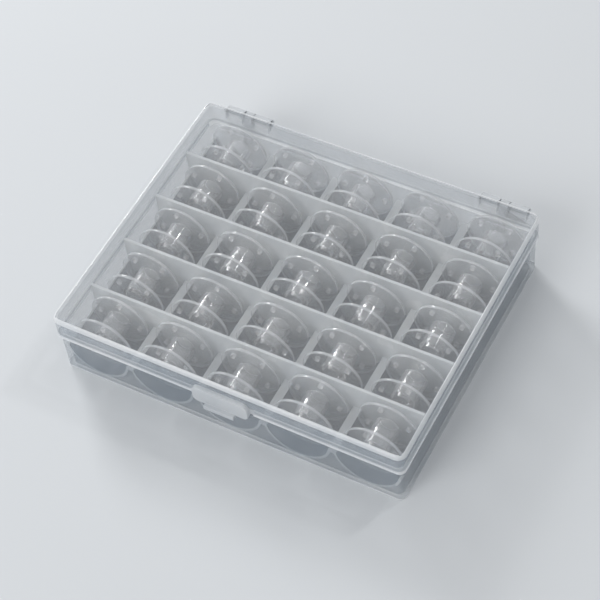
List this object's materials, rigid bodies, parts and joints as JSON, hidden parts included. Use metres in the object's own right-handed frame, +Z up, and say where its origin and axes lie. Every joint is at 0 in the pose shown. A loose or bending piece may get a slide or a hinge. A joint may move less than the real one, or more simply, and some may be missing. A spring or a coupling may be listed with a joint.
{
  "type": "bobbin storage box",
  "caption": "Flat hinged case of clear frosted plastic that holds clear sewing machine bobbins on edge in rows of half-round cradles, closed by a snap latch.",
  "frame": {"origin": "on the table, under the middle of the whole outline, with the latch and the hinges", "axes": "+X along the long side, +Y from the latch to the hinges, +Z up"},
  "size_m": [0.12, 0.1068, 0.025],
  "materials": {
    "lid": "clear polypropylene, glossy outside, faintly frosted",
    "base": "milky translucent polypropylene, satin",
    "bobbin": "clear polished polystyrene"
  },
  "bodies": {
    "base": {"base_shell": "base", "cradle_1": "base", "cradle_2": "base", "cradle_3": "base", "cradle_4": "base", "cradle_5": "base", "row_divider_1": "base", "row_divider_2": "base", "row_divider_3": "base", "row_divider_4": "base"},
    "lid": {"lid": "lid"},
    "bobbin_1_1": {"bobbin_1_1": "bobbin"},
    "bobbin_1_2": {"bobbin_1_2": "bobbin"},
    "bobbin_1_3": {"bobbin_1_3": "bobbin"},
    "bobbin_1_4": {"bobbin_1_4": "bobbin"},
    "bobbin_1_5": {"bobbin_1_5": "bobbin"},
    "bobbin_2_1": {"bobbin_2_1": "bobbin"},
    "bobbin_2_2": {"bobbin_2_2": "bobbin"},
    "bobbin_2_3": {"bobbin_2_3": "bobbin"},
    "bobbin_2_4": {"bobbin_2_4": "bobbin"},
    "bobbin_2_5": {"bobbin_2_5": "bobbin"},
    "bobbin_3_1": {"bobbin_3_1": "bobbin"},
    "bobbin_3_2": {"bobbin_3_2": "bobbin"},
    "bobbin_3_3": {"bobbin_3_3": "bobbin"},
    "bobbin_3_4": {"bobbin_3_4": "bobbin"},
    "bobbin_3_5": {"bobbin_3_5": "bobbin"},
    "bobbin_4_1": {"bobbin_4_1": "bobbin"},
    "bobbin_4_2": {"bobbin_4_2": "bobbin"},
    "bobbin_4_3": {"bobbin_4_3": "bobbin"},
    "bobbin_4_4": {"bobbin_4_4": "bobbin"},
    "bobbin_4_5": {"bobbin_4_5": "bobbin"},
    "bobbin_5_1": {"bobbin_5_1": "bobbin"},
    "bobbin_5_2": {"bobbin_5_2": "bobbin"},
    "bobbin_5_3": {"bobbin_5_3": "bobbin"},
    "bobbin_5_4": {"bobbin_5_4": "bobbin"},
    "bobbin_5_5": {"bobbin_5_5": "bobbin"}
  },
  "joints": [
    {"name": "lid_hinge", "type": "hinge", "parent": "base", "child": "lid", "pos_m": [0, 0.05153, 0.019], "axis": [-1, 0, 0], "range_deg": [0, 180]},
    {"name": "bobbin_1_1_spin", "type": "hinge", "parent": "base", "child": "bobbin_1_1", "pos_m": [-0.0468, -0.0387, 0.01165], "axis": [0, 1, 0], "continuous": true},
    {"name": "bobbin_1_2_spin", "type": "hinge", "parent": "base", "child": "bobbin_1_2", "pos_m": [-0.0234, -0.0387, 0.01165], "axis": [0, 1, 0], "continuous": true},
    {"name": "bobbin_1_3_spin", "type": "hinge", "parent": "base", "child": "bobbin_1_3", "pos_m": [0, -0.0387, 0.01165], "axis": [0, 1, 0], "continuous": true},
    {"name": "bobbin_1_4_spin", "type": "hinge", "parent": "base", "child": "bobbin_1_4", "pos_m": [0.0234, -0.0387, 0.01165], "axis": [0, 1, 0], "continuous": true},
    {"name": "bobbin_1_5_spin", "type": "hinge", "parent": "base", "child": "bobbin_1_5", "pos_m": [0.0468, -0.0387, 0.01165], "axis": [0, 1, 0], "continuous": true},
    {"name": "bobbin_2_1_spin", "type": "hinge", "parent": "base", "child": "bobbin_2_1", "pos_m": [-0.0468, -0.01972, 0.01165], "axis": [0, 1, 0], "continuous": true},
    {"name": "bobbin_2_2_spin", "type": "hinge", "parent": "base", "child": "bobbin_2_2", "pos_m": [-0.0234, -0.01972, 0.01165], "axis": [0, 1, 0], "continuous": true},
    {"name": "bobbin_2_3_spin", "type": "hinge", "parent": "base", "child": "bobbin_2_3", "pos_m": [0, -0.01972, 0.01165], "axis": [0, 1, 0], "continuous": true},
    {"name": "bobbin_2_4_spin", "type": "hinge", "parent": "base", "child": "bobbin_2_4", "pos_m": [0.0234, -0.01972, 0.01165], "axis": [0, 1, 0], "continuous": true},
    {"name": "bobbin_2_5_spin", "type": "hinge", "parent": "base", "child": "bobbin_2_5", "pos_m": [0.0468, -0.01972, 0.01165], "axis": [0, 1, 0], "continuous": true},
    {"name": "bobbin_3_1_spin", "type": "hinge", "parent": "base", "child": "bobbin_3_1", "pos_m": [-0.0468, 0.00017, 0.01165], "axis": [0, 1, 0], "continuous": true},
    {"name": "bobbin_3_2_spin", "type": "hinge", "parent": "base", "child": "bobbin_3_2", "pos_m": [-0.0234, 0.00017, 0.01165], "axis": [0, 1, 0], "continuous": true},
    {"name": "bobbin_3_3_spin", "type": "hinge", "parent": "base", "child": "bobbin_3_3", "pos_m": [0, 0.00017, 0.01165], "axis": [0, 1, 0], "continuous": true},
    {"name": "bobbin_3_4_spin", "type": "hinge", "parent": "base", "child": "bobbin_3_4", "pos_m": [0.0234, 0.00017, 0.01165], "axis": [0, 1, 0], "continuous": true},
    {"name": "bobbin_3_5_spin", "type": "hinge", "parent": "base", "child": "bobbin_3_5", "pos_m": [0.0468, 0.00017, 0.01165], "axis": [0, 1, 0], "continuous": true},
    {"name": "bobbin_4_1_spin", "type": "hinge", "parent": "base", "child": "bobbin_4_1", "pos_m": [-0.0468, 0.02007, 0.01165], "axis": [0, 1, 0], "continuous": true},
    {"name": "bobbin_4_2_spin", "type": "hinge", "parent": "base", "child": "bobbin_4_2", "pos_m": [-0.0234, 0.02007, 0.01165], "axis": [0, 1, 0], "continuous": true},
    {"name": "bobbin_4_3_spin", "type": "hinge", "parent": "base", "child": "bobbin_4_3", "pos_m": [0, 0.02007, 0.01165], "axis": [0, 1, 0], "continuous": true},
    {"name": "bobbin_4_4_spin", "type": "hinge", "parent": "base", "child": "bobbin_4_4", "pos_m": [0.0234, 0.02007, 0.01165], "axis": [0, 1, 0], "continuous": true},
    {"name": "bobbin_4_5_spin", "type": "hinge", "parent": "base", "child": "bobbin_4_5", "pos_m": [0.0468, 0.02007, 0.01165], "axis": [0, 1, 0], "continuous": true},
    {"name": "bobbin_5_1_spin", "type": "hinge", "parent": "base", "child": "bobbin_5_1", "pos_m": [-0.0468, 0.03905, 0.01165], "axis": [0, 1, 0], "continuous": true},
    {"name": "bobbin_5_2_spin", "type": "hinge", "parent": "base", "child": "bobbin_5_2", "pos_m": [-0.0234, 0.03905, 0.01165], "axis": [0, 1, 0], "continuous": true},
    {"name": "bobbin_5_3_spin", "type": "hinge", "parent": "base", "child": "bobbin_5_3", "pos_m": [0, 0.03905, 0.01165], "axis": [0, 1, 0], "continuous": true},
    {"name": "bobbin_5_4_spin", "type": "hinge", "parent": "base", "child": "bobbin_5_4", "pos_m": [0.0234, 0.03905, 0.01165], "axis": [0, 1, 0], "continuous": true},
    {"name": "bobbin_5_5_spin", "type": "hinge", "parent": "base", "child": "bobbin_5_5", "pos_m": [0.0468, 0.03905, 0.01165], "axis": [0, 1, 0], "continuous": true}
  ]
}
